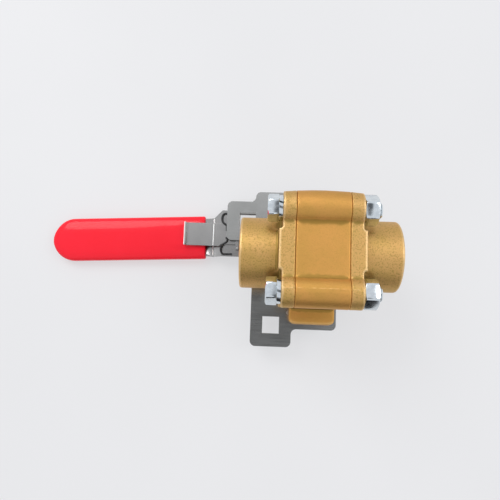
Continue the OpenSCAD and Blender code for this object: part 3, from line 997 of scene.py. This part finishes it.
def rod(start, end, radius, name):
    edge = 0.2 * MM
    row = [(start, 0.0), (start, radius - edge), (start + edge, radius), (end - edge, radius),
           (end, radius - edge), (end, 0.0)]
    return lathe([row] * 40, name)


head_x = SEAT_X + WASHER_THICK
head_mesh = moved(hex_head(HEAD_ACROSS, HEAD_HIGH, "head"), Matrix.Diagonal((-1, 1, 1, 1)))
heads = copies_at(at_corners(-head_x, head_turns), head_mesh, finish["zinc_plate"], "bolt_heads")
shank_mesh = joined(
    rod(-head_x - 1 * MM, SEAT_X, BOLT_R, "shank"),
    threaded_end(SEAT_X - 0.5 * MM, BOLT_END, BOLT_R, PITCH, GROOVE, "thread"),
)
shanks = copies_at(at_corners(0.0, nut_turns), shank_mesh, finish["zinc_plate"], "bolt_shanks")
settle("bolts", joined(heads, shanks), ["body_bolts"], smooth_angle=38.0)
washer_low, washer_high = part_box("body_lock_washers")
WASHER_OUT = washer_high.y - BOLT_Y
washers = copies_at(
    at_corners(-head_x, split_turns),
    split_washer(BOLT_R + 0.25 * MM, WASHER_OUT, WASHER_THICK, "washer"),
    finish["zinc_plate"], "washers",
)
settle("split_washers", washers, ["body_lock_washers"])
nuts = copies_at(
    at_corners(SEAT_X, nut_turns),
    hex_nut(NUT_ACROSS, NUT_HIGH, BOLT_R + 0.02 * MM, "nut"), finish["zinc_plate"], "nuts",
)
settle("nuts", nuts, ["body_nuts"], smooth_angle=38.0)
print("fasteners: bolts, washers and nuts, four of each")

# %% [markdown]
# ## The grip
# The grip is one loft: a rounded section is carried along the bar, and its width follows a
# half circle at the free end while its thickness stays full almost to the very edge. The
# mouth at the other end has a soft lip, as dipped vinyl has.

# %% Dipped grip
GRIP_START = Vector((-85.5, 17.5, -54.2)) * MM
GRIP_LONG = 126.5 * MM
GRIP_TILT = math.radians(2.8)
GRIP_HALF_W, GRIP_HALF_T = 17.7 * MM, 5.75 * MM
GRIP_POWER = 3.0
SECTION_POINTS = 72


def grip_section(half_w, half_t):
    """Points of a rounded flat section, in (across, up)."""
    points = []
    for number in range(SECTION_POINTS):
        turn = 2 * math.pi * number / SECTION_POINTS
        c, s = math.cos(turn), math.sin(turn)
        points.append((
            half_w * math.copysign(abs(c) ** (2 / GRIP_POWER), c),
            half_t * math.copysign(abs(s) ** (2 / GRIP_POWER), s),
        ))
    return points


def grip_stations():
    """(along, half width, half thickness) from the mouth to the free end."""
    lip = 1.4 * MM
    stations = [(0.0, GRIP_HALF_W * 0.55, GRIP_HALF_T * 0.4)]
    for step in range(7):
        turn = math.radians(90 * step / 6)
        ease = lip * (1 - math.sin(turn))
        stations.append((lip * (1 - math.cos(turn)), GRIP_HALF_W - ease, GRIP_HALF_T - ease))
    round_from = GRIP_LONG - GRIP_HALF_W
    for step in range(1, 36):
        along = lip + (round_from - lip) * step / 35
        stations.append((along, GRIP_HALF_W, GRIP_HALF_T))
    for step in range(1, 33):
        turn = math.radians(90 * step / 32)
        thin = max(0.0, math.cos(turn)) ** 0.34
        along = round_from + GRIP_HALF_W * math.sin(turn)
        stations.append((along, GRIP_HALF_W * math.cos(turn), GRIP_HALF_T * thin))
    return stations


def build_grip():
    work = bmesh.new()
    frame_turn = Matrix.Rotation(GRIP_TILT, 4, "Z")
    rings = []
    for along, half_w, half_t in grip_stations():
        ring = []
        for across, up in grip_section(max(half_w, 1e-5), max(half_t, 1e-5)):
            sag = noise.noise(Vector((along * 40, across * 50, up * 60))) * 0.10 * MM
            local = Vector((-along, across, up)) * (1.0 - abs(sag) / (20 * MM))
            ring.append(work.verts.new(GRIP_START + frame_turn @ local))
        rings.append(ring)
    for before, after in zip(rings, rings[1:]):
        for place in range(SECTION_POINTS):
            nxt = (place + 1) % SECTION_POINTS
            work.faces.new((before[place], before[nxt], after[nxt], after[place]))
    work.faces.new(rings[0])
    work.faces.new(list(reversed(rings[-1])))
    bmesh.ops.recalc_face_normals(work, faces=work.faces)
    mesh = bpy.data.meshes.new("dipped_grip")
    work.to_mesh(mesh)
    work.free()
    return settle("dipped_grip", mesh, ["grip"], smooth_angle=60.0)


build_grip()

# %% [markdown]
# ## The wire springs
# Two black wires lie on the lever and reach up over the latch. A wire is a circle carried
# along a smooth curve, and a spline through a few points gives the curve.

# %% Wire springs
WIRE_R = 0.75 * MM
LOWER_WIRE = [(-63.0, 3.8, -47.2), (-67.5, 3.7, -47.2), (-70.6, 3.9, -47.0), (-72.0, 6.6, -45.6),
              (-71.2, 10.6, -45.0), (-67.6, 13.4, -45.0), (-67.0, 15.4, -45.0), (-68.0, 17.0, -45.0)]
UPPER_WIRE = [(-63.0, 36.8, -47.2), (-67.5, 36.9, -47.2), (-70.6, 36.4, -47.0), (-72.0, 33.4, -45.6),
              (-71.2, 29.4, -45.0), (-67.6, 26.6, -45.0), (-67.0, 24.8, -45.0), (-68.0, 23.0, -45.0)]


def spline(points, between):
    """Points on a smooth curve through the given ones."""
    padded = [points[0] * 2 - points[1]] + points + [points[-1] * 2 - points[-2]]
    curve = []
    for a, b, c, d in zip(padded, padded[1:], padded[2:], padded[3:]):
        for step in range(between):
            t = step / between
            curve.append(0.5 * (2 * b + (c - a) * t + (2 * a - 5 * b + 4 * c - d) * t * t
                                + (3 * b - a - 3 * c + d) * t ** 3))
    return curve + [points[-1]]


def tube(path, radius, around, name):
    work = bmesh.new()
    rings = []
    side = Vector((0, 0, 1))
    for number, point in enumerate(path):
        before, after = path[max(0, number - 1)], path[min(len(path) - 1, number + 1)]
        ahead = (after - before).normalized()
        side = (side - ahead * side.dot(ahead)).normalized()
        up = ahead.cross(side)
        ring = []
        for place in range(around):
            turn = 2 * math.pi * place / around
            ring.append(work.verts.new(point + (side * math.cos(turn) + up * math.sin(turn)) * radius))
        rings.append(ring)
    for before, after in zip(rings, rings[1:]):
        for place in range(around):
            nxt = (place + 1) % around
            work.faces.new((before[place], before[nxt], after[nxt], after[place]))
    work.faces.new(rings[0])
    work.faces.new(list(reversed(rings[-1])))
    bmesh.ops.recalc_face_normals(work, faces=work.faces)
    mesh = bpy.data.meshes.new(name)
    work.to_mesh(mesh)
    work.free()
    return mesh


wires = []
for route in (LOWER_WIRE, UPPER_WIRE):
    wires.append(tube(spline([Vector(point) * MM for point in route], 8), WIRE_R, 14, "wire"))
settle("spring_wires", joined(*wires), ["latch_spring"], smooth_angle=60.0)
print("grip and wires done")

# %% [markdown]
# ## The ground
# The valve lies on its lever and stem nut on a pale surface. The surface is only staging, so
# it is large, plain and kept out of the model.

# %% Ground
def make_ground():
    size, near_edge = 3.0, -0.30
    mesh = bpy.data.meshes.new("ground")
    outline = ((-size, near_edge), (size, near_edge), (size, size), (-size, size))
    mesh.from_pydata([(x, y, cad_low.z) for x, y in outline], [], [(0, 1, 2, 3)])
    ground = bpy.data.objects.new("ground", mesh)
    bpy.context.scene.collection.objects.link(ground)
    material, tree, shader = new_material("pale_ground", 0.7, 0.0)
    clouds = use_group(tree, soft_clouds, Scale=3.0, Low=0.2, High=0.8)
    colour = colour_mix(tree, clouds.outputs["Mask"], (0.235, 0.235, 0.238), (0.245, 0.245, 0.248))
    tree.links.new(colour, shader.inputs["Base Color"])
    tree.links.new(colour, shader.inputs["Emission Color"])
    shader.inputs["Emission Strength"].default_value = 2.22
    mesh.materials.append(material)
    ground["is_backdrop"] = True
    return ground


make_ground()

# %% [markdown]
# ## Sizes and close
# The finished pieces must fill the same box as the mechanical model.

# %% Compare sizes and finish
made_low, made_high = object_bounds()
made_size, cad_size = made_high - made_low, cad_high - cad_low
print("size", [round(v, 4) for v in made_size], "against", [round(v, 4) for v in cad_size])
